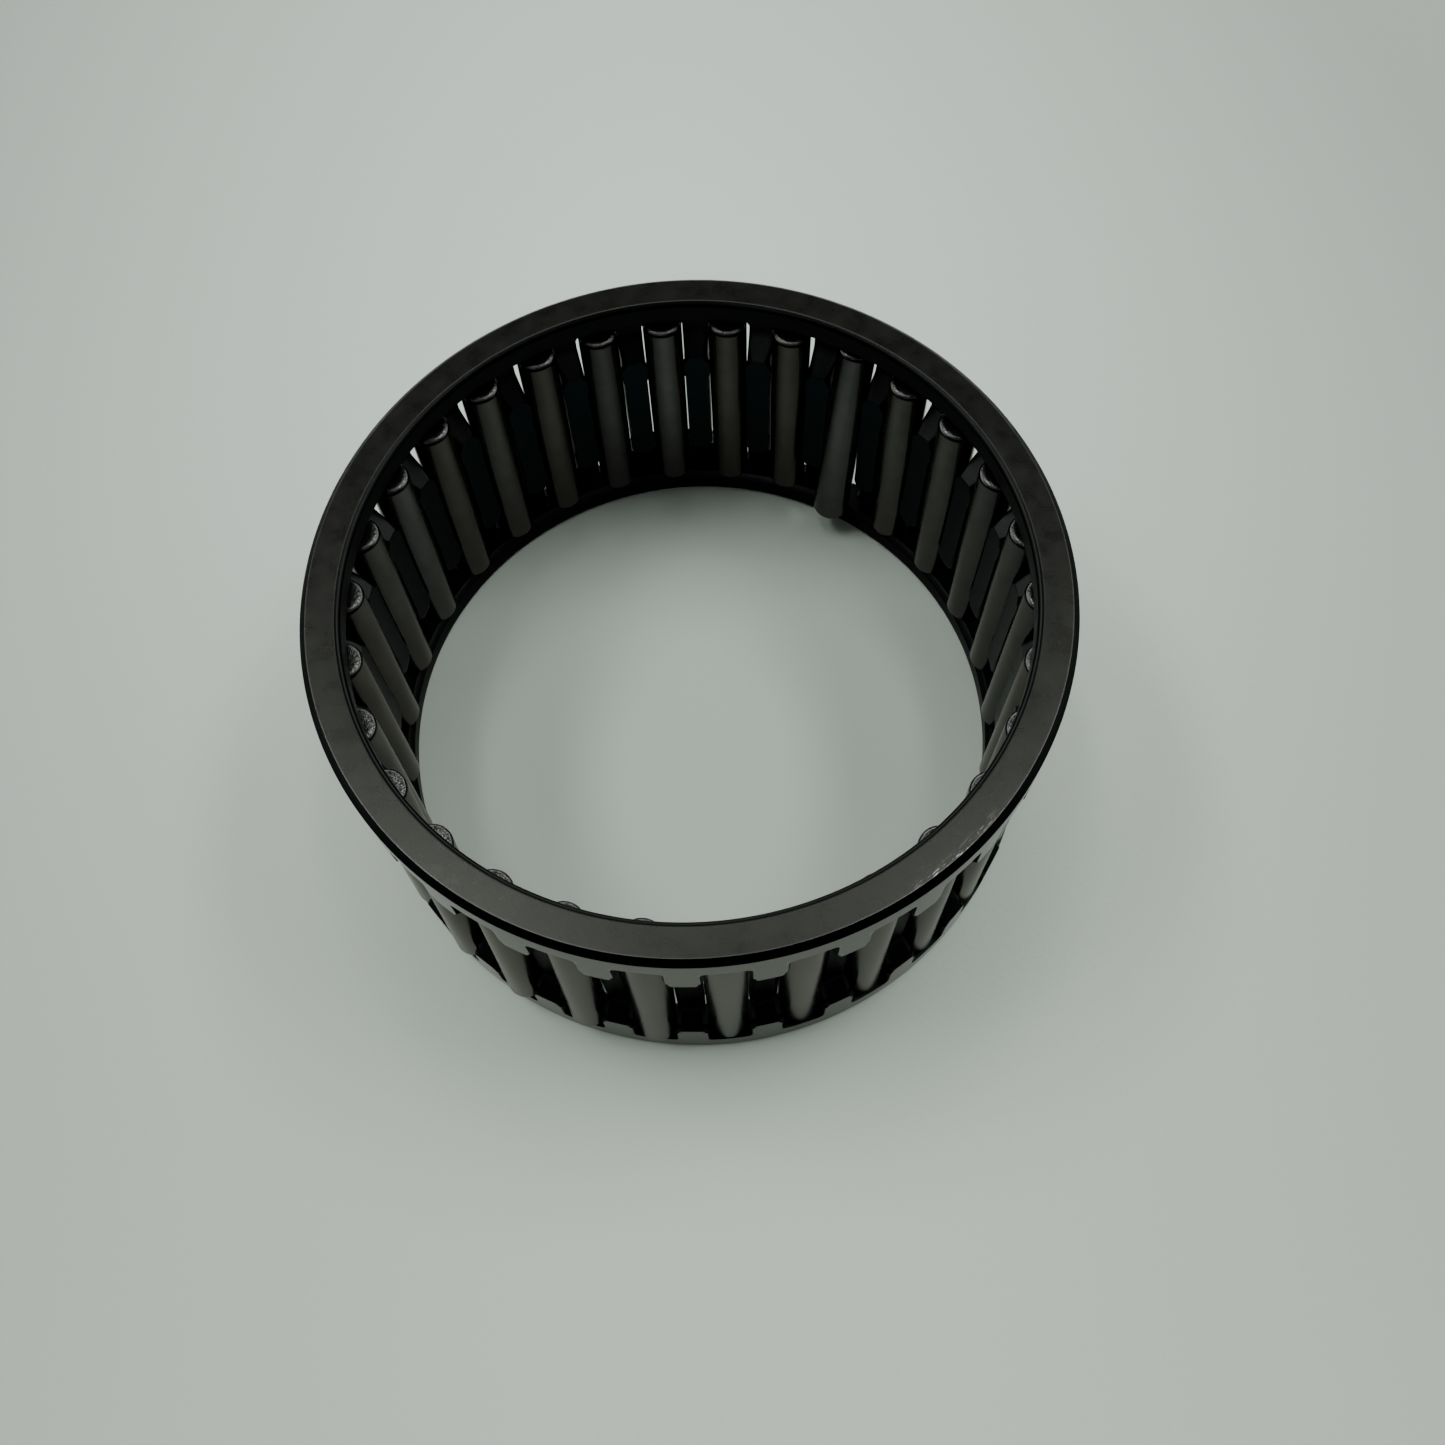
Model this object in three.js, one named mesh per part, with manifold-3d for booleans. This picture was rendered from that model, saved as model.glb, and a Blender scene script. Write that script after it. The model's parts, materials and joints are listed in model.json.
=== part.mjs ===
// Needle roller and cage assembly: one steel cage with thirty loose needle rollers in its pockets.
// Millimetres. +Z is the bearing axis, and the origin is the centre of the cage's lower face.
// Angles are in degrees, anticlockwise from +X seen from above.

import * as THREE from "three";
import { mergeVertices } from "three/addons/utils/BufferGeometryUtils.js";
import Module from "manifold-3d";

// The two raceways that the needles run between, on a shaft and in a housing.
const SHAFT_RACEWAY_RADIUS = 31;
const HOUSING_RACEWAY_RADIUS = 35;

// Needle rollers.
const NEEDLE_COUNT = 30;
const NEEDLE_RADIUS = (HOUSING_RACEWAY_RADIUS - SHAFT_RACEWAY_RADIUS) / 2;
const NEEDLE_LENGTH = 27.2;
const NEEDLE_CORNER = 0.4;
const NEEDLE_SIDES = 16;

// Cage: two end rings, joined by bars that run along the outside at their ends and along the inside
// at their middles, so that the wall has the outline of a letter M.
const CAGE_WIDTH = 33.6;
const CAGE_OUTER_RADIUS = HOUSING_RACEWAY_RADIUS - 0.2;
const CAGE_BORE_RADIUS = SHAFT_RACEWAY_RADIUS + 0.1;
const CAGE_FACETS = 60;
const RING_WIDTH = 3.0;
const RING_CHAMFER = 0.6;
const TAB_INNER_RADIUS = 33.4;
const TAB_END = 7.2;
const GROOVE_RADIUS = 32.9;
const LAND_RADIUS = 31.2;
const LAND_START = 8.6;

// Pockets, with retaining lips that stand a little into each opening.
const FIRST_POCKET_ANGLE = 6.5;
const POCKET_PITCH = 360 / NEEDLE_COUNT;
const POCKET_WIDTH = 4.25;
const POCKET_CORNER = 0.5;
const LIP_OPENING = 3.96;
const OUTER_LIP_RADIUS = 34.1;
const OUTER_LIP_HEIGHTS = [3.6, 6.4];
const INNER_LIP_RADIUS = 31.6;
const INNER_LIP_HEIGHTS = [9.2, 11.8];

// Rest places of the needles: each foot stands on the lower ring and each head leans inwards,
// least of all about one side of the bearing, where the needles stand more upright.
const FOOT_RADIUS = 32.6;
const FOOT_GAP = 0.14;
const HEAD_RADIUS = 32.0;
const UPRIGHT_HEAD_SHIFT = 0.65;
const UPRIGHT_ANGLE = -15;
const UPRIGHT_SHARPNESS = 6;

// Needles that have settled further out than the rest: how far the foot and the head have moved.
const SETTLED = new Map([
  [17, [0.4, 0]],
  [18, [0.6, 0]],
  [19, [0.7, 0]],
  [20, [0.65, 0]],
  [21, [0.55, 0]],
  [22, [0.15, 0.3]],
  [23, [0, 0.35]],
  [24, [0, 0.3]],
]);

// One needle has slipped at its foot, which hangs inwards over the bore of the lower ring.
// Its pocket has no inner lips at the lower end.
const SLIPPED_INDEX = 4;
const SLIPPED_FOOT = new THREE.Vector3(30.4, 0.12, RING_WIDTH + 0.26);
const SLIPPED_HEAD = new THREE.Vector2(32.9, -0.07);

// How far a cutter runs past the wall, and how far a lip reaches into the bar that it grows from.
const REACH = 4;
const ROOT = 0.5;

const wasm = await Module();
wasm.setup();

function toSolid(geometry) {
  const bare = geometry.clone();
  bare.deleteAttribute("normal");
  bare.deleteAttribute("uv");
  const merged = mergeVertices(bare);
  return new wasm.Manifold(
    new wasm.Mesh({
      numProp: 3,
      vertProperties: merged.attributes.position.array,
      triVerts: new Uint32Array(merged.index.array),
    }),
  );
}

function toGeometry(solid) {
  const mesh = solid.getMesh();
  const geometry = new THREE.BufferGeometry();
  geometry.setAttribute("position", new THREE.BufferAttribute(mesh.vertProperties, 3));
  geometry.setIndex(new THREE.BufferAttribute(mesh.triVerts, 1));
  const flat = geometry.toNonIndexed();
  flat.computeVertexNormals();
  return flat;
}

function toPoints(pairs) {
  return pairs.map(([radius, height]) => new THREE.Vector2(radius, height));
}

// Turns an outline in the (radius, height) plane about the bearing axis, with one edge of the
// facets at the start angle. A lathe turns about Y, a quarter turn behind the angles used here.
function turned(outline, facets, startAngle) {
  const start = THREE.MathUtils.degToRad(startAngle + 90);
  return new THREE.LatheGeometry(outline, facets, start, 2 * Math.PI).rotateX(Math.PI / 2);
}

function mirrorHeight(height) {
  return CAGE_WIDTH - height;
}

// The lower half of the cage wall, from the inside at mid height, down, out, and up the outside.
function lowerWall() {
  const insideSlope = TAB_INNER_RADIUS - LAND_RADIUS;
  const outsideSlope = CAGE_OUTER_RADIUS - GROOVE_RADIUS;
  return [
    [LAND_RADIUS, LAND_START],
    [TAB_INNER_RADIUS, LAND_START - insideSlope],
    [TAB_INNER_RADIUS, RING_WIDTH],
    [CAGE_BORE_RADIUS + RING_CHAMFER, RING_WIDTH],
    [CAGE_BORE_RADIUS, RING_WIDTH - RING_CHAMFER],
    [CAGE_BORE_RADIUS, RING_CHAMFER],
    [CAGE_BORE_RADIUS + RING_CHAMFER, 0],
    [CAGE_OUTER_RADIUS - RING_CHAMFER, 0],
    [CAGE_OUTER_RADIUS, RING_CHAMFER],
    [CAGE_OUTER_RADIUS, TAB_END],
    [GROOVE_RADIUS, TAB_END + outsideSlope],
  ];
}

function wallOutline() {
  const lower = lowerWall();
  const upper = lower.map(([radius, height]) => [radius, mirrorHeight(height)]).reverse();
  return toPoints([...lower, ...upper, lower[0]]);
}

function pocketAngle(index) {
  return FIRST_POCKET_ANGLE + POCKET_PITCH * index;
}

// The pocket's rounded rectangle, extruded outwards through the wall along +X.
function slotSolid() {
  const side = POCKET_WIDTH / 2 - POCKET_CORNER;
  const bottom = RING_WIDTH + POCKET_CORNER;
  const top = mirrorHeight(bottom);
  const outline = new THREE.Shape();
  outline.absarc(-side, bottom, POCKET_CORNER, Math.PI, 1.5 * Math.PI);
  outline.absarc(side, bottom, POCKET_CORNER, 1.5 * Math.PI, 2 * Math.PI);
  outline.absarc(side, top, POCKET_CORNER, 0, 0.5 * Math.PI);
  outline.absarc(-side, top, POCKET_CORNER, 0.5 * Math.PI, Math.PI);
  outline.closePath();
  const slot = new THREE.ExtrudeGeometry(outline, {
    depth: CAGE_OUTER_RADIUS - CAGE_BORE_RADIUS + 2 * REACH,
    bevelEnabled: false,
    curveSegments: 1,
  });
  const acrossUpOut = new THREE.Matrix4().makeBasis(
    new THREE.Vector3(0, 1, 0),
    new THREE.Vector3(0, 0, 1),
    new THREE.Vector3(1, 0, 0),
  );
  slot.applyMatrix4(acrossUpOut).translate(CAGE_BORE_RADIUS - REACH, 0, 0);
  return toSolid(slot);
}

// One lip, as the block that a pocket's cutter leaves standing on one side of the pocket.
function lipSolid([innerRadius, outerRadius], [bottom, top], side) {
  const inset = LIP_OPENING / 2;
  const width = POCKET_WIDTH / 2 + ROOT - inset;
  const block = new THREE.BoxGeometry(outerRadius - innerRadius, width, top - bottom);
  block.translate((innerRadius + outerRadius) / 2, side * (inset + width / 2), (bottom + top) / 2);
  return toSolid(block);
}

// Outer lips stand on the tabs by each end ring, and inner lips near the ends of the land.
function lipSolids(withLowerInner) {
  const outwards = [OUTER_LIP_RADIUS, CAGE_OUTER_RADIUS + REACH + ROOT];
  const inwards = [CAGE_BORE_RADIUS - REACH - ROOT, INNER_LIP_RADIUS];
  const upperOuter = OUTER_LIP_HEIGHTS.map(mirrorHeight).reverse();
  const upperInner = INNER_LIP_HEIGHTS.map(mirrorHeight).reverse();
  const places = [
    [outwards, OUTER_LIP_HEIGHTS],
    [outwards, upperOuter],
    [inwards, upperInner],
  ];
  if (withLowerInner) places.push([inwards, INNER_LIP_HEIGHTS]);
  return places.flatMap(([radii, heights]) => [
    lipSolid(radii, heights, 1),
    lipSolid(radii, heights, -1),
  ]);
}

function pocketCutter(withLowerInner) {
  return lipSolids(withLowerInner).reduce((rest, lip) => rest.subtract(lip), slotSolid());
}

// The facets are placed so that each bar has its middle on the middle of a facet.
function cageGeometry() {
  const firstBar = FIRST_POCKET_ANGLE - POCKET_PITCH / 2;
  const halfFacet = 180 / CAGE_FACETS;
  const usual = pocketCutter(true);
  const slipped = pocketCutter(false);
  let cage = toSolid(turned(wallOutline(), CAGE_FACETS, firstBar + halfFacet));
  for (let i = 0; i < NEEDLE_COUNT; i += 1) {
    const cutter = i === SLIPPED_INDEX ? slipped : usual;
    cage = cage.subtract(cutter.rotate([0, 0, pocketAngle(i)]));
  }
  return toGeometry(cage);
}

// One needle standing on the origin: flat ends and bevelled corners.
function needleGeometry() {
  const endRadius = NEEDLE_RADIUS - NEEDLE_CORNER;
  const outline = toPoints([
    [0, 0],
    [endRadius, 0],
    [NEEDLE_RADIUS, NEEDLE_CORNER],
    [NEEDLE_RADIUS, NEEDLE_LENGTH - NEEDLE_CORNER],
    [endRadius, NEEDLE_LENGTH],
    [0, NEEDLE_LENGTH],
  ]);
  return turned(outline, NEEDLE_SIDES, 0);
}

// Where a needle's foot and head are in its pocket's own frame: outwards along X, across along Y.
function needleEnds(index) {
  if (index === SLIPPED_INDEX) return { foot: SLIPPED_FOOT, head: SLIPPED_HEAD };
  const turn = THREE.MathUtils.degToRad(pocketAngle(index) - UPRIGHT_ANGLE);
  const upright = Math.max(0, Math.cos(turn)) ** UPRIGHT_SHARPNESS;
  const [footOut, headOut] = SETTLED.get(index) ?? [0, 0];
  return {
    foot: new THREE.Vector3(FOOT_RADIUS + footOut, 0, RING_WIDTH + FOOT_GAP),
    head: new THREE.Vector2(HEAD_RADIUS + UPRIGHT_HEAD_SHIFT * upright + headOut, 0),
  };
}

// Stands a needle in its pocket, inside a group that is turned to the pocket's angle.
function placeNeedle(mesh, index) {
  const { foot, head } = needleEnds(index);
  const lean = new THREE.Vector2(head.x - foot.x, head.y - foot.y);
  const rise = Math.sqrt(NEEDLE_LENGTH ** 2 - lean.lengthSq());
  const along = new THREE.Vector3(lean.x, lean.y, rise).normalize();
  mesh.position.copy(foot);
  mesh.quaternion.setFromUnitVectors(new THREE.Vector3(0, 0, 1), along);
  const pocket = new THREE.Group();
  pocket.rotation.z = THREE.MathUtils.degToRad(pocketAngle(index));
  pocket.add(mesh);
  return pocket;
}

function makeCage() {
  const steel = new THREE.MeshStandardMaterial({ color: 0x3a3936, metalness: 0.9, roughness: 0.45 });
  const mesh = new THREE.Mesh(cageGeometry(), steel);
  mesh.name = "cage";
  return mesh;
}

function makeNeedle(index) {
  const steel = new THREE.MeshStandardMaterial({ color: 0x8f8e88, metalness: 1.0, roughness: 0.3 });
  const mesh = new THREE.Mesh(needleGeometry(), steel);
  mesh.name = `needle_${String(index + 1).padStart(2, "0")}`;
  return placeNeedle(mesh, index);
}

const bearing = new THREE.Group();
bearing.name = "needle_roller_bearing";
bearing.add(makeCage());
for (let i = 0; i < NEEDLE_COUNT; i += 1) {
  bearing.add(makeNeedle(i));
}

export default bearing;
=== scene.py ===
"""Needle roller and cage assembly: a steel cage with thirty loose needle rollers, standing on a pale floor.

Sizes are written in millimetres and turned into metres where vertices are made. Angles are in degrees,
anticlockwise from +X seen from above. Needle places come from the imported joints.
"""

import json
import math
import random

import bmesh
import bpy
from mathutils import Matrix, Vector, noise


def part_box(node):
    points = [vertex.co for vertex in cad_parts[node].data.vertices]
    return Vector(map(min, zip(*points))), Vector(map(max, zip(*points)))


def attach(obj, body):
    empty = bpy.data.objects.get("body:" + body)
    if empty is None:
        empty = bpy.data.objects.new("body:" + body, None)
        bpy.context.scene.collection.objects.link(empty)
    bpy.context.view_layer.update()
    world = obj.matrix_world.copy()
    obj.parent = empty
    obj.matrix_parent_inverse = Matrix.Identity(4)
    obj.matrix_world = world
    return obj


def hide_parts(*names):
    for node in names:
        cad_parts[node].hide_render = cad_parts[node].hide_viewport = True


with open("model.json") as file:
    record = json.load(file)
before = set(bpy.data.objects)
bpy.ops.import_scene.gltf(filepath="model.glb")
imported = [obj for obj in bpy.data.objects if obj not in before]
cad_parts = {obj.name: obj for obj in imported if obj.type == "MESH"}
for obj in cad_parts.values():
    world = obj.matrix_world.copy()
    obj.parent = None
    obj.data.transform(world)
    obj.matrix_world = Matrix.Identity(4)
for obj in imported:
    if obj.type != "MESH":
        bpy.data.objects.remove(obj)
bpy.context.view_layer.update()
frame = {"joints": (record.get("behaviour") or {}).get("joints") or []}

MM = 0.001
CAGE_LOW, CAGE_HIGH = (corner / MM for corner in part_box("cage"))

# Cage wall: end rings, tabs that carry on from them outside, and lands that run along the inside.
WIDTH = CAGE_HIGH.z - CAGE_LOW.z
OUTER = (CAGE_HIGH.x - CAGE_LOW.x) / 2
BORE = 31.1
RING = 3.0
CHAMFER = 0.6
BORE_ROUND = 0.6
BACK_CHAMFER = 0.6
TAB_INNER = 33.4
TAB_END = 7.2
GROOVE = 32.9
LAND = 31.2
LAND_START = 8.6
MIDDLE = WIDTH / 2

# Pockets.
POCKETS = 30
PITCH = 360 / POCKETS
FIRST_POCKET = 6.5
POCKET_HALF = 2.125
CORNER = 0.5
LIP = 0.145
TAB_LIP = 0.24
WAIST = 0.06
OUTER_LIP = 34.1
INNER_LIP = 31.6
TAB_BEVEL = 0.29
RELIEF = 0.4
TIP_BEVEL = 0.42
TIP_LENGTH = 1.1
SLIPPED_POCKET = 4

# Where lips and cut-backs come in and go out, as short ramps of height from the nearer end.
TAB_LIP_IN = (3.6, 3.75)
TAB_LIP_OUT = (6.25, 6.4)
TAB_BEVEL_OUT = (TAB_END - 0.1, TAB_END + 0.1)
RELIEF_IN = (TAB_END - 0.3, TAB_END + 0.1)
WAIST_IN = (TAB_END + 1.0, LAND_START + 1.0)
LAND_LIP_IN = (9.2, 9.35)
LAND_LIP_OUT = (11.65, 11.8)
TIP_IN = (LAND_START - 2.0, LAND_START)
TIP_OUT = (LAND_START, LAND_START + TIP_LENGTH)

# Mesh density, how close points are welded, and the small rounding of every machined edge.
BAR_STEPS = 6
FLOOR_STEPS = 8
ROUND_STEPS = 6
WELD = 0.002
EDGE_ROUND = 0.03

# Needles.
NEEDLE_RADIUS = 2.0
NEEDLE_LENGTH = 27.2
NEEDLE_CORNER = 0.5
SHOULDER_STEPS = 3
NEEDLE_SIDES = 72
END_STEPS = 7
DENT_DEPTH = 0.05
CENTRE_DENT = 0.02

# A scuffed patch of the rim: where it is, how far it reaches, and how much of it is scratched.
SCUFF_ANGLE = -54.0
SCUFF_REACH = 11.0
SCUFF_RADIUS = 34.05
SCUFF_WIDTH = 0.6
SCUFF_LEVELS = (0.58, 0.67)

# Which way its scratches run, and how much finer their pattern is across than along.
SCUFF_LINE = (0.74, 0.67)
SCUFF_ALONG = 0.9
SCUFF_ACROSS = 11.0

# Needle finishes as (warmth, brightness), and which needles have which; the rest are drawn at random.
NEEDLE_FINISHES = ((0.01, 1.14), (0.05, 1.0), (0.09, 0.88), (0.02, 0.86))
KNOWN_FINISHES = {0: 3, 1: 3, 2: 1, 3: 1, 4: 0, 5: 2, 6: 2, 7: 0, 8: 3, 9: 2, 10: 1, 11: 2}

# How much the dark oxide shines at a grazing angle, in the open and on the pockets' walls, where the lower
# shine is painted shade.
OXIDE_EDGE = 0.57
POCKET_SHADE_EDGE = 0.4

# The cage's and the needles' finishes, as places in their lists of materials.
END_FACE, OUTER_BAND, LAND_FACE, INNER_SLOPE, PLAIN, POCKET_WALL = range(6)
NEEDLE_SIDE, NEEDLE_END, NEEDLE_CORNERS = range(3)

# Stage, in metres: half the floor's width and the ceiling's height.
FLOOR_HALF = 1.5
CEILING = 1.2

# How bright the wall and the rest of the room are, and where the wall comes in and stops, by direction.
WALL_GLOW = 2.7
ROOM_GLOW = 0.03
WALL_IN = (-0.6, 0.3)
WALL_TOP = (0.5, 0.62)

# Camera: its place, the way it looks, its lens and how far its picture is shifted.
CAMERA_PLACE = (-0.29, -60.17, 140.97)
CAMERA_YAW = 2.08
CAMERA_DOWN = 63.36
CAMERA_ROLL = -3.19
CAMERA_LENS = 34.28
CAMERA_SHIFT = (0.0073, -0.0578)


# ---------------------------------------------------------------- cage shape


def between(value, start, end):
    """0 up to start, 1 from end on, and a straight ramp in between."""
    return min(1.0, max(0.0, (value - start) / (end - start)))


def from_near_end(z):
    return min(z, WIDTH - z)


def outer_radius(z):
    """Radius of a bar's outside: the tab, then a 45 degree slope down to the groove."""
    return max(GROOVE, OUTER - max(0.0, from_near_end(z) - TAB_END))


def inner_radius(z):
    """Radius of a bar's inside: under the tab, then a 45 degree slope in to the land."""
    slope = TAB_INNER - LAND
    return max(LAND, TAB_INNER - max(0.0, from_near_end(z) - (LAND_START - slope)))


def waist(z):
    """How much narrower a pocket is along its middle, on each side."""
    return WAIST * between(from_near_end(z), *WAIST_IN)


def pocket_half(z):
    """Half the pocket's width at a height: narrower round the corners at its ends and along its middle."""
    rise = from_near_end(z) - RING
    if rise >= CORNER:
        return POCKET_HALF - waist(z)
    return POCKET_HALF - CORNER + math.sqrt(max(0.0, CORNER**2 - (CORNER - rise) ** 2))


def outer_half(z):
    """Half width at the outside: lips on the tab, and its end cut back."""
    end = from_near_end(z)
    lip = between(end, *TAB_LIP_IN) - between(end, *TAB_LIP_OUT)
    cut = between(end, *RELIEF_IN)
    return pocket_half(z) - TAB_LIP * lip + RELIEF * cut


def tab_bevel(z):
    """How far the tab's outer edges are cut back beyond the lips."""
    end = from_near_end(z)
    return TAB_BEVEL * (between(end, *TAB_LIP_IN) - between(end, *TAB_BEVEL_OUT))


def inner_half(z, pocket):
    """Half width at the inside: lips near the ends of the land, spread open where a needle has slipped."""
    if pocket == SLIPPED_POCKET and z < MIDDLE:
        return pocket_half(z) + waist(z)
    end = from_near_end(z)
    return pocket_half(z) - LIP * (between(end, *LAND_LIP_IN) - between(end, *LAND_LIP_OUT))


def land_bevel(z):
    """How far the land's edges are cut back towards its tips."""
    end = from_near_end(z)
    return TIP_BEVEL * (between(end, *TIP_IN) - between(end, *TIP_OUT))


def bar_levels():
    """Heights of a bar's sections: wherever its shape changes, and the same from the upper end."""
    fillet = [RING + CORNER * (1 - math.cos(math.radians(a))) for a in (0, 45, 90)]
    tab = [*TAB_LIP_IN, *TAB_LIP_OUT, RELIEF_IN[0], TAB_BEVEL_OUT[0], TAB_END, TAB_BEVEL_OUT[1]]
    land = [*TIP_OUT, TAB_END + OUTER - GROOVE, *LAND_LIP_IN, *LAND_LIP_OUT]
    half = sorted(fillet + tab + land)
    return half + [MIDDLE] + [WIDTH - z for z in reversed(half)]


def wall_side(z, pocket):
    """(radius, half width) down one pocket wall, from the outside to the inside."""
    outside, inside = outer_radius(z), inner_radius(z)
    lip_out = min(OUTER_LIP, outside - 0.2)
    lip_in = max(INNER_LIP, inside + 0.2)
    return [
        (outside, outer_half(z) + tab_bevel(z)),
        (max(lip_out + 0.1, outside - 0.35), outer_half(z)),
        (lip_out, outer_half(z)),
        (lip_out - 0.12, pocket_half(z)),
        (lip_in + 0.12, pocket_half(z)),
        (lip_in, inner_half(z, pocket)),
        (inside, inner_half(z, pocket) + land_bevel(z)),
    ]


def at(radius, degrees, z):
    a = math.radians(degrees)
    return Vector((radius * math.cos(a), radius * math.sin(a), z)) * MM


def side_angle(radius, half):
    return math.degrees(math.asin(half / radius))


def arc(radius, start, end, z, steps):
    return [at(radius, start + (end - start) * i / steps, z) for i in range(steps + 1)]


def bar_loop(index, z):
    """Points round a bar's section, starting at its outside corner by pocket index - 1."""
    left = FIRST_POCKET + PITCH * (index - 1)
    right = left + PITCH
    before = wall_side(z, (index - 1) % POCKETS)
    after = wall_side(z, index)
    left_wall = [at(r, left + side_angle(r, h), z) for r, h in before]
    right_wall = [at(r, right - side_angle(r, h), z) for r, h in after]
    outside, out_half = before[0]
    inside, in_half = before[-1]
    out_right = after[0][1]
    in_right = after[-1][1]
    outer_arc = arc(
        outside,
        left + side_angle(outside, out_half),
        right - side_angle(outside, out_right),
        z,
        BAR_STEPS,
    )
    inner_arc = arc(
        inside,
        right - side_angle(inside, in_right),
        left + side_angle(inside, in_half),
        z,
        BAR_STEPS,
    )
    return outer_arc + right_wall[1:] + inner_arc[1:] + left_wall[-2:0:-1]


def ring_path():
    """(radius, height) round the lower ring, from under the tabs, in, down, out and up."""
    bore_edge = [
        (
            BORE + BORE_ROUND * (1 - math.cos(a)),
            BORE_ROUND * (1 - math.sin(a)),
        )
        for a in (math.pi / 2 * i / ROUND_STEPS for i in range(ROUND_STEPS + 1))
    ]
    return [
        (TAB_INNER, RING),
        (BORE + BACK_CHAMFER, RING),
        (BORE, RING - BACK_CHAMFER),
        *bore_edge,
        (OUTER - CHAMFER, 0.0),
        (OUTER, CHAMFER),
        (OUTER, RING),
    ]


def ring_columns(radius, index):
    """Angles at a radius from the start of bar index, across it, to the end of its next pocket."""
    half = side_angle(radius, POCKET_HALF - CORNER)
    left = FIRST_POCKET + PITCH * (index - 1)
    right = left + PITCH
    start, end = left + half, right - half
    bar = [start + (end - start) * i / BAR_STEPS for i in range(BAR_STEPS)]
    return bar + [end + 2 * half * i / FLOOR_STEPS for i in range(FLOOR_STEPS + 1)]


def add_grid(faces, rows):
    for low, high in zip(rows, rows[1:]):
        for i in range(len(low) - 1):
            faces.append((low[i], low[i + 1], high[i + 1], high[i]))


def ring_faces(index, flip):
    """Quads of one bar's and one pocket's share of an end ring; flip gives the upper ring."""

    def height(z):
        return WIDTH - z if flip else z

    faces = []
    rows = [[at(r, a, height(z)) for a in ring_columns(r, index)] for r, z in ring_path()]
    add_grid(faces, rows)
    floor_radii = [r for r, _ in wall_side(RING, index)]
    floor = [[at(r, a, height(RING)) for a in ring_columns(r, index)[BAR_STEPS:]] for r in floor_radii]
    add_grid(faces, floor)
    return faces


def bar_faces(index):
    faces = []
    loops = [bar_loop(index, z) for z in bar_levels()]
    add_grid(faces, [loop + loop[:1] for loop in loops])
    return faces


def mesh_from_quads(name, quads):
    """One welded mesh with its faces pointing out."""
    made = bmesh.new()
    for quad in quads:
        made.faces.new([made.verts.new(point) for point in quad])
    bmesh.ops.remove_doubles(made, verts=made.verts, dist=WELD * MM)
    bmesh.ops.recalc_face_normals(made, faces=made.faces)
    mesh = bpy.data.meshes.new(name)
    made.to_mesh(mesh)
    made.free()
    mesh.shade_smooth()
    return mesh


def round_edges(piece, width):
    bevel = piece.modifiers.new("edge rounding", "BEVEL")
    bevel.width = width * MM
    bevel.segments = 2
    bevel.limit_method = "ANGLE"
    bevel.angle_limit = math.radians(30)
    normals = piece.modifiers.new("flat faces stay flat", "WEIGHTED_NORMAL")
    normals.weight = 100


def add_piece(name, mesh, place, body, slot, *replaced):
    piece = bpy.data.objects.new(name, mesh)
    bpy.context.scene.collection.objects.link(piece)
    piece.matrix_world = place
    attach(piece, body)
    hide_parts(*replaced)
    return piece


# ---------------------------------------------------------------- materials


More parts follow.
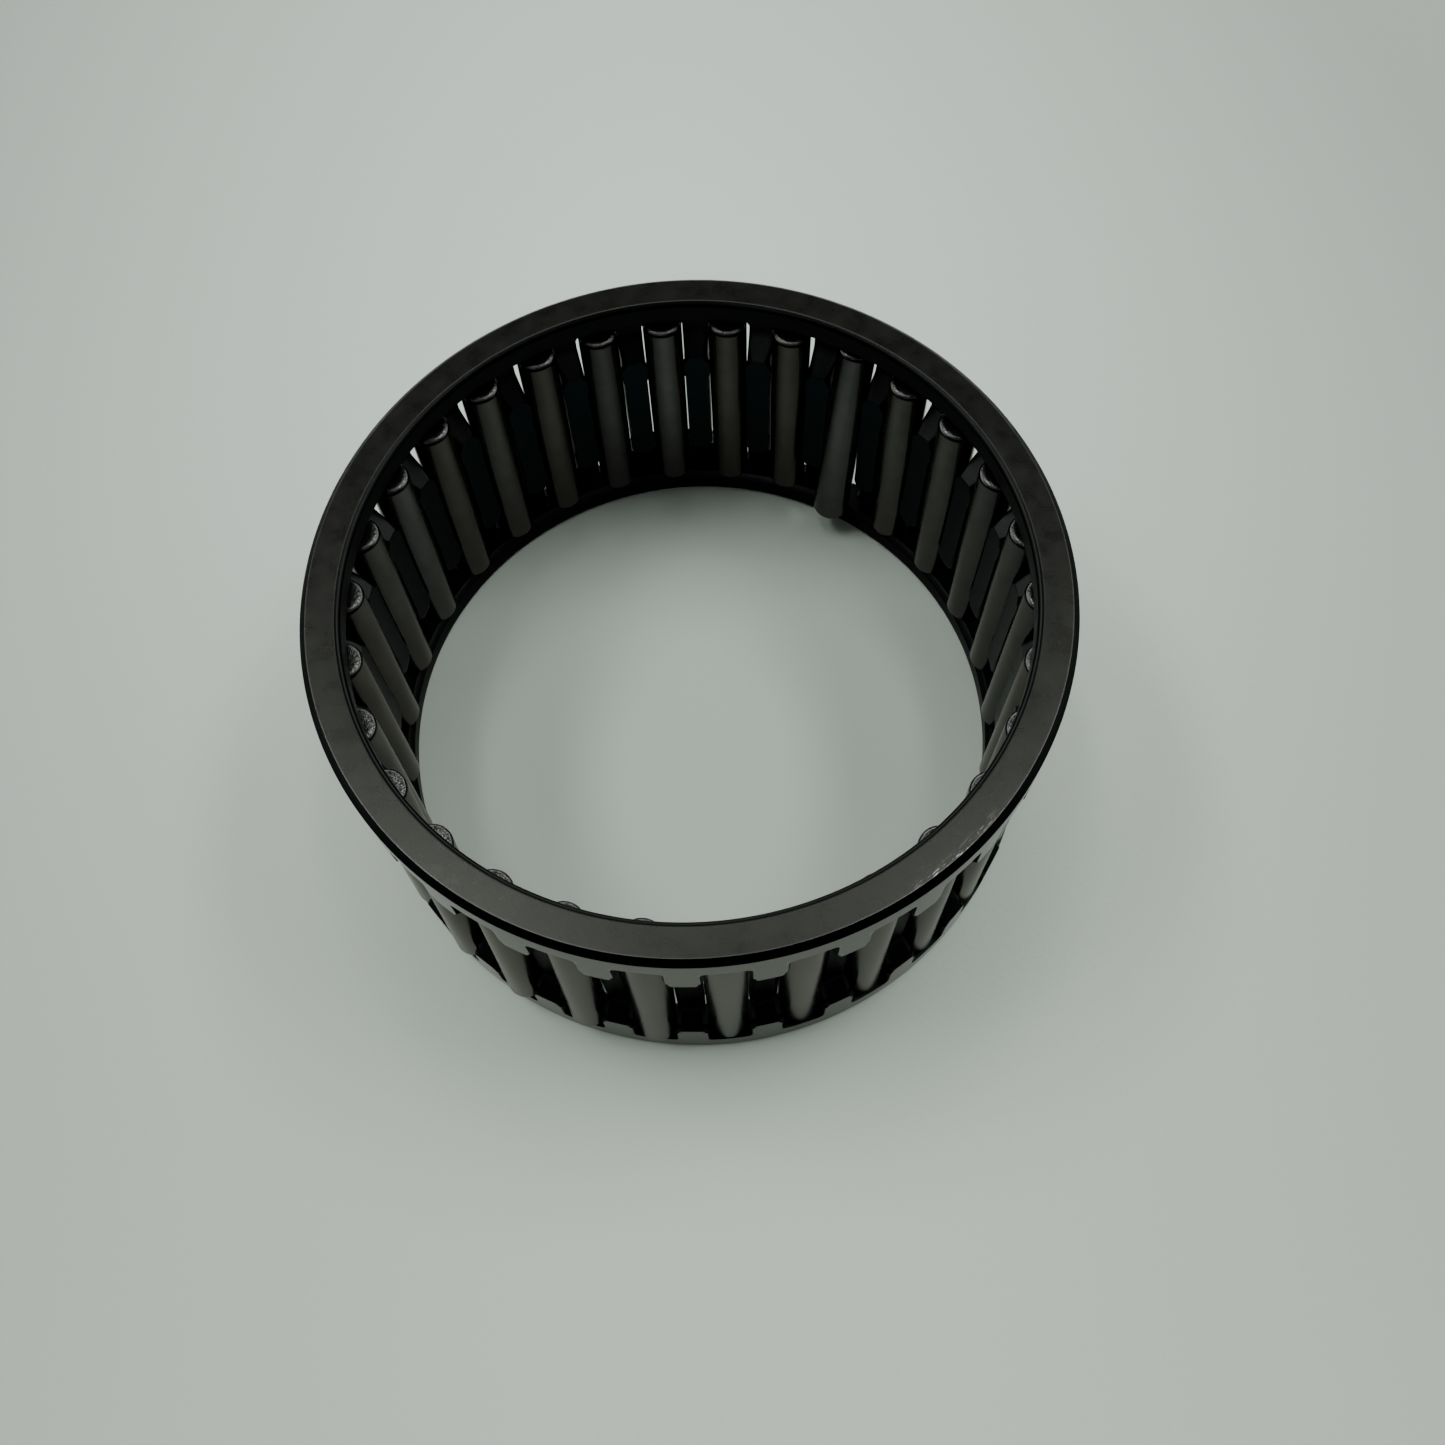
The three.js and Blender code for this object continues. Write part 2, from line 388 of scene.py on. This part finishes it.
class Nodes:
    """A short way to write a material's node tree."""

    def __init__(self, name):
        self.material = bpy.data.materials.new(name)
        self.material.use_nodes = True
        self.tree = self.material.node_tree
        self.shader = self.tree.nodes["Principled BSDF"]

    def add(self, kind, **settings):
        node = self.tree.nodes.new(kind)
        for key, value in settings.items():
            setattr(node, key, value)
        return node

    def link(self, source, target):
        self.tree.links.new(source, target)

    def feed(self, socket, value):
        if hasattr(value, "default_value"):
            self.link(value, socket)
        else:
            socket.default_value = value

    def math(self, operation, a, b=0.0):
        node = self.add("ShaderNodeMath", operation=operation)
        self.feed(node.inputs[0], a)
        self.feed(node.inputs[1], b)
        return node.outputs[0]

    def noise(self, vector, scale, detail=3.0, roughness=0.5):
        node = self.add("ShaderNodeTexNoise")
        self.feed(node.inputs["Vector"], vector)
        node.inputs["Scale"].default_value = scale
        node.inputs["Detail"].default_value = detail
        node.inputs["Roughness"].default_value = roughness
        return node.outputs["Fac"]

    def remap(self, value, low, high, from_low=0.0, from_high=1.0):
        node = self.add("ShaderNodeMapRange")
        self.feed(node.inputs["Value"], value)
        node.inputs["From Min"].default_value = from_low
        node.inputs["From Max"].default_value = from_high
        node.inputs["To Min"].default_value = low
        node.inputs["To Max"].default_value = high
        return node.outputs["Result"]

    def mix(self, share, first, second):
        node = self.add("ShaderNodeMix", data_type="RGBA")
        self.feed(node.inputs[0], share)
        self.feed(node.inputs[6], first)
        self.feed(node.inputs[7], second)
        return node.outputs[2]

    def place(self):
        """(x, y, z) of the piece's own coordinates, in millimetres."""
        coordinates = self.add("ShaderNodeTexCoord").outputs["Object"]
        scaled = self.add("ShaderNodeVectorMath", operation="SCALE")
        self.link(coordinates, scaled.inputs[0])
        scaled.inputs["Scale"].default_value = 1 / MM
        return scaled.outputs[0]

    def split(self, vector):
        node = self.add("ShaderNodeSeparateXYZ")
        self.link(vector, node.inputs[0])
        return node.outputs

    def join(self, x, y, z):
        node = self.add("ShaderNodeCombineXYZ")
        for socket, value in zip(node.inputs, (x, y, z)):
            self.feed(socket, value)
        return node.outputs[0]

    def polar(self, place):
        """(radius, angle in radians, height) of a place."""
        x, y, z = self.split(place)
        squared = self.math("ADD", self.math("MULTIPLY", x, x), self.math("MULTIPLY", y, y))
        return self.math("SQRT", squared), self.math("ARCTAN2", y, x), z

    def bump(self, height, distance, strength=1.0):
        node = self.add("ShaderNodeBump")
        self.link(height, node.inputs["Height"])
        node.inputs["Strength"].default_value = strength
        node.inputs["Distance"].default_value = distance * MM
        self.link(node.outputs[0], self.shader.inputs["Normal"])

    def near(self, value, centre, reach):
        """1 at a value's centre, falling to 0 at reach on either side."""
        gap = self.math("ABSOLUTE", self.math("SUBTRACT", value, centre))
        return self.remap(gap, 1.0, 0.0, 0.0, reach)

    def scuffs(self, place, radius, angle):
        """Short bright scratches across one patch of the rim."""
        x, y, _ = self.split(place)
        east, north = SCUFF_LINE
        along = self.math("ADD", self.math("MULTIPLY", x, east), self.math("MULTIPLY", y, north))
        across = self.math("SUBTRACT", self.math("MULTIPLY", y, east), self.math("MULTIPLY", x, north))
        fine = (self.math("MULTIPLY", along, SCUFF_ALONG), self.math("MULTIPLY", across, SCUFF_ACROSS))
        lines = self.remap(self.noise(self.join(*fine, 0.0), 1.0, 2.0, 0.6), 0.0, 1.0, *SCUFF_LEVELS)
        patch = self.near(angle, math.radians(SCUFF_ANGLE), math.radians(SCUFF_REACH))
        rim = self.near(radius, SCUFF_RADIUS, SCUFF_WIDTH)
        return self.math("MULTIPLY", lines, self.math("MULTIPLY", patch, rim))

    def finish(self, colour, roughness, metallic=1.0, edge=(1.0, 1.0, 1.0, 1.0)):
        """Closes the tree; edge is how much of its usual brightness the metal keeps at a grazing angle."""
        self.feed(self.shader.inputs["Base Color"], colour)
        self.feed(self.shader.inputs["Roughness"], roughness)
        self.shader.inputs["Metallic"].default_value = metallic
        self.shader.inputs["Specular Tint"].default_value = edge
        return self.material


def grey(value, warmth=0.0):
    """A grey with a little more red and less blue where it is warm."""
    return (value * (1 + warmth), value, value * (1 - warmth), 1.0)


def ring_face_steel():
    """Ground end faces: satin, mottled, with fine marks round them, a painted highlight along the outer
    edge and a scuffed patch by the rim.
    """
    n = Nodes("ring_face_steel")
    place = n.place()
    radius, angle, _ = n.polar(place)
    rings = n.noise(n.join(n.math("MULTIPLY", radius, 9.0), n.math("MULTIPLY", angle, 3.0), 0.0), 1.0, 4.0)
    mottle = n.noise(place, 0.45, 5.0, 0.6)
    grain = n.noise(place, 6.0, 3.0, 0.7)
    specks = n.remap(n.noise(place, 3.5, 2.0, 0.7), 0.0, 1.0, 0.3, 0.7)
    share = n.math("ADD", n.math("MULTIPLY", mottle, 0.65), n.math("MULTIPLY", specks, 0.35))
    cloud = n.mix(share, (0.0225, 0.0242, 0.0212, 1.0), (0.033, 0.035, 0.0302, 1.0))
    # Painted highlight: a thin lighter band just inside the outer chamfer, where the rounded edge catches
    # light.
    edge_highlight = n.mix(n.near(radius, OUTER - CHAMFER, 0.12), cloud, grey(0.075, 0.02))
    colour = n.mix(n.scuffs(place, radius, angle), edge_highlight, grey(0.6))
    n.bump(n.math("ADD", rings, n.math("MULTIPLY", grain, 0.3)), 0.0009)
    return n.finish(colour, n.remap(mottle, 0.25, 0.32, 0.3, 0.7))


def outer_band_steel():
    """Turned and polished outside: glossy, with faint marks that run round it."""
    n = Nodes("outer_band_steel")
    place = n.place()
    _, angle, height = n.polar(place)
    marks = n.noise(n.join(n.math("MULTIPLY", angle, 3.0), 0.0, n.math("MULTIPLY", height, 8.0)), 1.0, 3.0)
    cloud = n.noise(place, 0.3, 3.0)
    colour = n.mix(cloud, grey(0.042, 0.01), grey(0.055, 0.0))
    n.bump(marks, 0.002)
    return n.finish(colour, n.remap(marks, 0.1, 0.16), edge=grey(0.72, 0.02))


def black_oxide(name, dark, light, turned, edge=OXIDE_EDGE):
    """Hardened steel left dark by heat: blue-black, with marks that run round it where it was turned."""
    n = Nodes(name)
    place = n.place()
    radius, angle, height = n.polar(place)
    along = n.math("ADD", n.math("MULTIPLY", height, turned), n.math("MULTIPLY", radius, turned))
    marks = n.noise(n.join(n.math("MULTIPLY", angle, 2.0), 0.0, along), 1.0, 3.0, 0.6)
    cloud = n.math("ADD", n.math("MULTIPLY", n.noise(place, 0.5, 3.0), 0.5), n.math("MULTIPLY", marks, 0.5))
    n.bump(marks, 0.01)
    return n.finish(n.mix(cloud, dark, light), n.remap(marks, 0.22, 0.4), edge=grey(edge))


def needle_side_steel(number):
    """Centreless ground sides: satin, with marks round the needle and faint clouding along it."""
    warmth, brightness = NEEDLE_FINISHES[number]
    n = Nodes(f"needle_side_steel_{number + 1}")
    place = n.place()
    _, angle, height = n.polar(place)
    marks = n.noise(n.join(angle, 0.0, n.math("MULTIPLY", height, 12.0)), 1.0, 2.0)
    cloud = n.noise(place, 0.35, 4.0)
    share = n.remap(cloud, 0.0, 1.0, 0.3, 0.7)
    colour = n.mix(share, grey(0.05 * brightness, warmth), grey(0.066 * brightness, warmth))
    n.bump(marks, 0.002)
    return n.finish(colour, n.remap(cloud, 0.16, 0.22), edge=grey(0.72, 0.03))


def needle_corner_steel():
    """Tumbled corners, a little darker than the sides."""
    n = Nodes("needle_corner_steel")
    place = n.place()
    cloud = n.noise(place, 1.5, 3.0)
    n.bump(cloud, 0.01)
    return n.finish(n.mix(cloud, grey(0.03), grey(0.05, 0.02)), n.remap(cloud, 0.1, 0.16), edge=grey(0.6))


def needle_end_steel():
    """Cropped and tumbled ends: bright, dented and rough."""
    n = Nodes("needle_end_steel")
    place = n.place()
    dents = n.noise(place, 7.0, 2.0)
    dark, light = (0.0235, 0.0245, 0.0225, 1.0), (0.105, 0.112, 0.103, 1.0)
    colour = n.mix(n.remap(dents, 0.0, 1.0, 0.4, 0.6), dark, light)
    n.bump(dents, 0.035)
    return n.finish(colour, n.remap(dents, 0.18, 0.26))


def floor_paper():
    """Matt paper, faintly green, with painted shade that darkens it away from its middle."""
    n = Nodes("floor_paper")
    place = n.place()
    grain = n.noise(place, 1.6, 5.0, 0.65)
    x, y, _ = n.split(place)
    # Painted shade: from 25 to 110 mm out the colour falls to little more than half, standing in for light
    # falling off.
    offset = n.math("MULTIPLY", n.math("SUBTRACT", y, 20.0), 0.45)
    wide = n.math("ADD", n.math("MULTIPLY", x, x), n.math("MULTIPLY", offset, offset))
    edge = n.remap(n.math("SQRT", wide), 0.0, 1.0, 25.0, 110.0)
    near = n.mix(edge, (0.628, 0.73, 0.639, 1.0), (0.36, 0.418, 0.366, 1.0))
    n.bump(grain, 0.05, 0.5)
    return n.finish(near, 0.75, 0.0)


# ---------------------------------------------------------------- cage


def cage_zone(face):
    """Which of its finishes a face of the cage has."""
    centre = face.center / MM
    radius = math.hypot(centre.x, centre.y)
    outwards = (face.normal.x * centre.x + face.normal.y * centre.y) / radius
    end = from_near_end(centre.z)
    if end < 0.01:
        return END_FACE
    if abs(face.normal.z) > 0.93 and end < BORE_ROUND and radius < BORE + BORE_ROUND:
        return END_FACE
    if outwards > 0.9 and radius > OUTER - 0.1:
        return OUTER_BAND
    if outwards < -0.9 and radius < INNER_LIP and end > LAND_START:
        return LAND_FACE
    if outwards < -0.5 and abs(face.normal.z) > 0.5 and LAND + 0.1 < radius < TAB_INNER:
        return INNER_SLOPE
    if outwards > -0.3 and abs(face.normal.z) < 0.3 and end > RING:
        return POCKET_WALL
    return PLAIN


def cage_finishes():
    """The cage's materials, from END_FACE to POCKET_WALL."""
    blue_black = (0.0042, 0.0068, 0.0078, 1.0), (0.0058, 0.009, 0.01, 1.0)
    turned_grey = (0.006, 0.0065, 0.0062, 1.0), (0.022, 0.0238, 0.0236, 1.0)
    black = (0.004, 0.005, 0.0045, 1.0), (0.006, 0.007, 0.0065, 1.0)
    return (
        ring_face_steel(),
        outer_band_steel(),
        black_oxide("land_oxide", *blue_black, 4.0),
        black_oxide("turned_oxide", *turned_grey, 14.0),
        black_oxide("cage_oxide", *black, 5.0),
        # The pockets' walls: the plain oxide with less shine, painted shade.
        black_oxide("pocket_oxide_shaded", *black, 5.0, POCKET_SHADE_EDGE),
    )


def make_cage():
    quads = []
    for index in range(POCKETS):
        quads += bar_faces(index) + ring_faces(index, False) + ring_faces(index, True)
    mesh = mesh_from_quads("cage_turned", quads)
    for finish in cage_finishes():
        mesh.materials.append(finish)
    for face in mesh.polygons:
        face.material_index = cage_zone(face)
    piece = add_piece("cage_turned", mesh, Matrix.Identity(4), "cage", "cage_steel", "cage")
    round_edges(piece, EDGE_ROUND)


# ---------------------------------------------------------------- needles


def needle_profile():
    """(radius, height) up a needle's side, with both rounded corners."""
    inner = NEEDLE_RADIUS - NEEDLE_CORNER
    turns = [math.pi / 2 * i / ROUND_STEPS for i in range(ROUND_STEPS + 1)]
    foot = [(inner + NEEDLE_CORNER * math.sin(a), NEEDLE_CORNER * (1 - math.cos(a))) for a in turns]
    head = [(r, NEEDLE_LENGTH - z) for r, z in reversed(foot)]
    return foot + head


def end_rings(draw):
    """Rings of an end face from its centre to its corner, dented a little by cropping and tumbling."""
    inner = NEEDLE_RADIUS - NEEDLE_CORNER
    shift = Vector((draw.uniform(0, 50), draw.uniform(0, 50), 0))
    rings = []
    for step in range(1, END_STEPS):
        radius = inner * step / END_STEPS
        ring = []
        for side in range(NEEDLE_SIDES):
            a = 2 * math.pi * side / NEEDLE_SIDES
            spot = Vector((radius * math.cos(a), radius * math.sin(a), 0))
            fade = min(1.0, 2 * (1 - step / END_STEPS))
            depth = DENT_DEPTH * fade * (0.5 + 0.5 * noise.noise(spot * 1.1 + shift))
            ring.append((spot.x, spot.y, depth))
        rings.append(ring)
    return rings


def side_rings():
    """Rings up the outside of a needle, from its foot's face to its head's."""
    turns = [2 * math.pi * i / NEEDLE_SIDES for i in range(NEEDLE_SIDES)]
    return [[(r * math.cos(a), r * math.sin(a), z) for a in turns] for r, z in needle_profile()]


def needle_zone(step):
    """Which finish the band above a ring has, counting the rings from the middle of the foot."""
    first = END_STEPS - 1
    last = first + 2 * ROUND_STEPS + 1
    if step == first + ROUND_STEPS:
        return NEEDLE_SIDE
    if first + SHOULDER_STEPS <= step < last - SHOULDER_STEPS:
        return NEEDLE_CORNERS
    return NEEDLE_END


def close_end(made, ring, z):
    """Closes an end face with triangles from its innermost ring to its centre."""
    centre = made.verts.new(Vector((0, 0, z)) * MM)
    for one, other in zip(ring, ring[1:] + ring[:1]):
        made.faces.new([centre, one, other]).material_index = NEEDLE_END


def needle_mesh(index):
    draw = random.Random(index + 1)
    made = bmesh.new()

    def add_rings(rings):
        return [[made.verts.new(Vector(point) * MM) for point in ring] for ring in rings]

    foot = add_rings(end_rings(draw))
    head = add_rings([[(x, y, NEEDLE_LENGTH - d) for x, y, d in ring] for ring in end_rings(draw)])
    chain = foot + add_rings(side_rings()) + head[::-1]
    for step, (lower, upper) in enumerate(zip(chain, chain[1:])):
        for i in range(NEEDLE_SIDES):
            j = (i + 1) % NEEDLE_SIDES
            face = made.faces.new([lower[i], lower[j], upper[j], upper[i]])
            face.material_index = needle_zone(step)
    close_end(made, foot[0], CENTRE_DENT)
    close_end(made, head[0], NEEDLE_LENGTH - CENTRE_DENT)
    bmesh.ops.recalc_face_normals(made, faces=made.faces)
    mesh = bpy.data.meshes.new(f"roller_{index + 1:02d}")
    made.to_mesh(mesh)
    made.free()
    mesh.shade_smooth()
    return mesh


def side_number(index):
    """Which of the side finishes a needle has."""
    drawn = random.Random(index + 101).randrange(len(NEEDLE_FINISHES))
    return KNOWN_FINISHES.get(index, drawn)


def make_needles():
    sides = [needle_side_steel(number) for number in range(len(NEEDLE_FINISHES))]
    end, corners = needle_end_steel(), needle_corner_steel()
    for index, joint in enumerate(frame["joints"]):
        node = joint["child"]
        mesh = needle_mesh(index)
        for finish in (sides[side_number(index)], end, corners):
            mesh.materials.append(finish)
        upright = Vector((0, 0, 1)).rotation_difference(Vector(joint["axis"])).to_matrix()
        place = Matrix.Translation(joint["pos_m"]) @ upright.to_4x4()
        add_piece(f"roller_{index + 1:02d}", mesh, place, node, "needle_steel", node)


# ---------------------------------------------------------------- stage


def make_floor():
    mesh = bpy.data.meshes.new("floor")
    corners = [(x * FLOOR_HALF, y * FLOOR_HALF, 0) for x, y in ((-1, -1), (1, -1), (1, 1), (-1, 1))]
    mesh.from_pydata(corners, [], [(0, 1, 2, 3)])
    floor = bpy.data.objects.new("floor", mesh)
    floor.data.materials.append(floor_paper())
    bpy.context.scene.collection.objects.link(floor)


def make_camera():
    """Looks steeply down from just in front of the part, from a hand's height above it."""
    place = Vector(CAMERA_PLACE) * MM
    yaw, down, roll = (math.radians(a) for a in (CAMERA_YAW, CAMERA_DOWN, CAMERA_ROLL))
    forward = Vector((math.sin(yaw) * math.cos(down), math.cos(yaw) * math.cos(down), -math.sin(down)))
    level = Vector((math.cos(yaw), -math.sin(yaw), 0.0))
    above = level.cross(forward)
    right = math.cos(roll) * level + math.sin(roll) * above
    up = math.cos(roll) * above - math.sin(roll) * level
    data = bpy.data.cameras.new("camera")
    data.sensor_width = 36.0
    data.lens = CAMERA_LENS
    data.shift_x, data.shift_y = CAMERA_SHIFT
    data.clip_start = 0.01
    camera = bpy.data.objects.new("camera", data)
    camera.matrix_world = Matrix.Translation(place) @ Matrix((right, up, -forward)).transposed().to_4x4()
    bpy.context.scene.collection.objects.link(camera)
    bpy.context.scene.camera = camera


def add_lamp(name, across, along, width, length, radiance):
    """A flat lamp in the ceiling. Places and sizes are slopes: distance aside for each unit of height."""
    area = (width * CEILING) * (length * CEILING)
    data = bpy.data.lights.new(name, "AREA")
    data.shape = "RECTANGLE"
    data.size = width * CEILING
    data.size_y = length * CEILING
    data.energy = radiance * math.pi * area
    lamp = bpy.data.objects.new(name, data)
    lamp.location = (across * CEILING, along * CEILING, CEILING)
    bpy.context.scene.collection.objects.link(lamp)


def make_lamps():
    """Lamps on both sides, and dim ones beyond the part and before it."""
    add_lamp("left outer lamp", -0.56, 0.22, 0.22, 0.58, 11.2)
    add_lamp("left inner lamp", -0.21, 0.15, 0.08, 0.4, 13.5)
    add_lamp("right outer lamp", 0.56, 0.2, 0.22, 0.58, 10.6)
    add_lamp("right inner lamp", 0.21, 0.12, 0.08, 0.38, 11.0)
    add_lamp("far lamp", 0.0, 0.42, 0.24, 0.3, 3.3)
    add_lamp("left near lamp", -0.6, -1.0, 0.4, 0.6, 1.8)
    add_lamp("right near lamp", 0.6, -1.0, 0.4, 0.6, 0.8)


def make_world():
    """A dark ceiling, and a pale wall low down beyond the part."""
    world = bpy.data.worlds.new("dark ceiling and pale wall")
    bpy.context.scene.world = world
    world.use_nodes = True
    nodes, links = world.node_tree.nodes, world.node_tree.links
    direction = nodes.new("ShaderNodeTexCoord").outputs["Generated"]
    split = nodes.new("ShaderNodeSeparateXYZ")
    links.new(direction, split.inputs[0])

    def ramp(value, start, end, low, high):
        node = nodes.new("ShaderNodeMapRange")
        node.interpolation_type = "SMOOTHSTEP"
        links.new(value, node.inputs["Value"])
        for name, number in (("From Min", start), ("From Max", end), ("To Min", low), ("To Max", high)):
            node.inputs[name].default_value = number
        return node.outputs["Result"]

    product = nodes.new("ShaderNodeMath")
    product.operation = "MULTIPLY"
    links.new(ramp(split.outputs["Y"], *WALL_IN, 0.0, 1.0), product.inputs[0])
    links.new(ramp(split.outputs["Z"], *WALL_TOP, WALL_GLOW, 0.0), product.inputs[1])
    total = nodes.new("ShaderNodeMath")
    total.operation = "ADD"
    links.new(product.outputs[0], total.inputs[0])
    total.inputs[1].default_value = ROOM_GLOW
    links.new(total.outputs[0], nodes["Background"].inputs["Strength"])
    nodes["Background"].inputs["Color"].default_value = (1.0, 1.0, 1.0, 1.0)


make_camera()
make_lamps()
make_world()
make_floor()
make_cage()
make_needles()
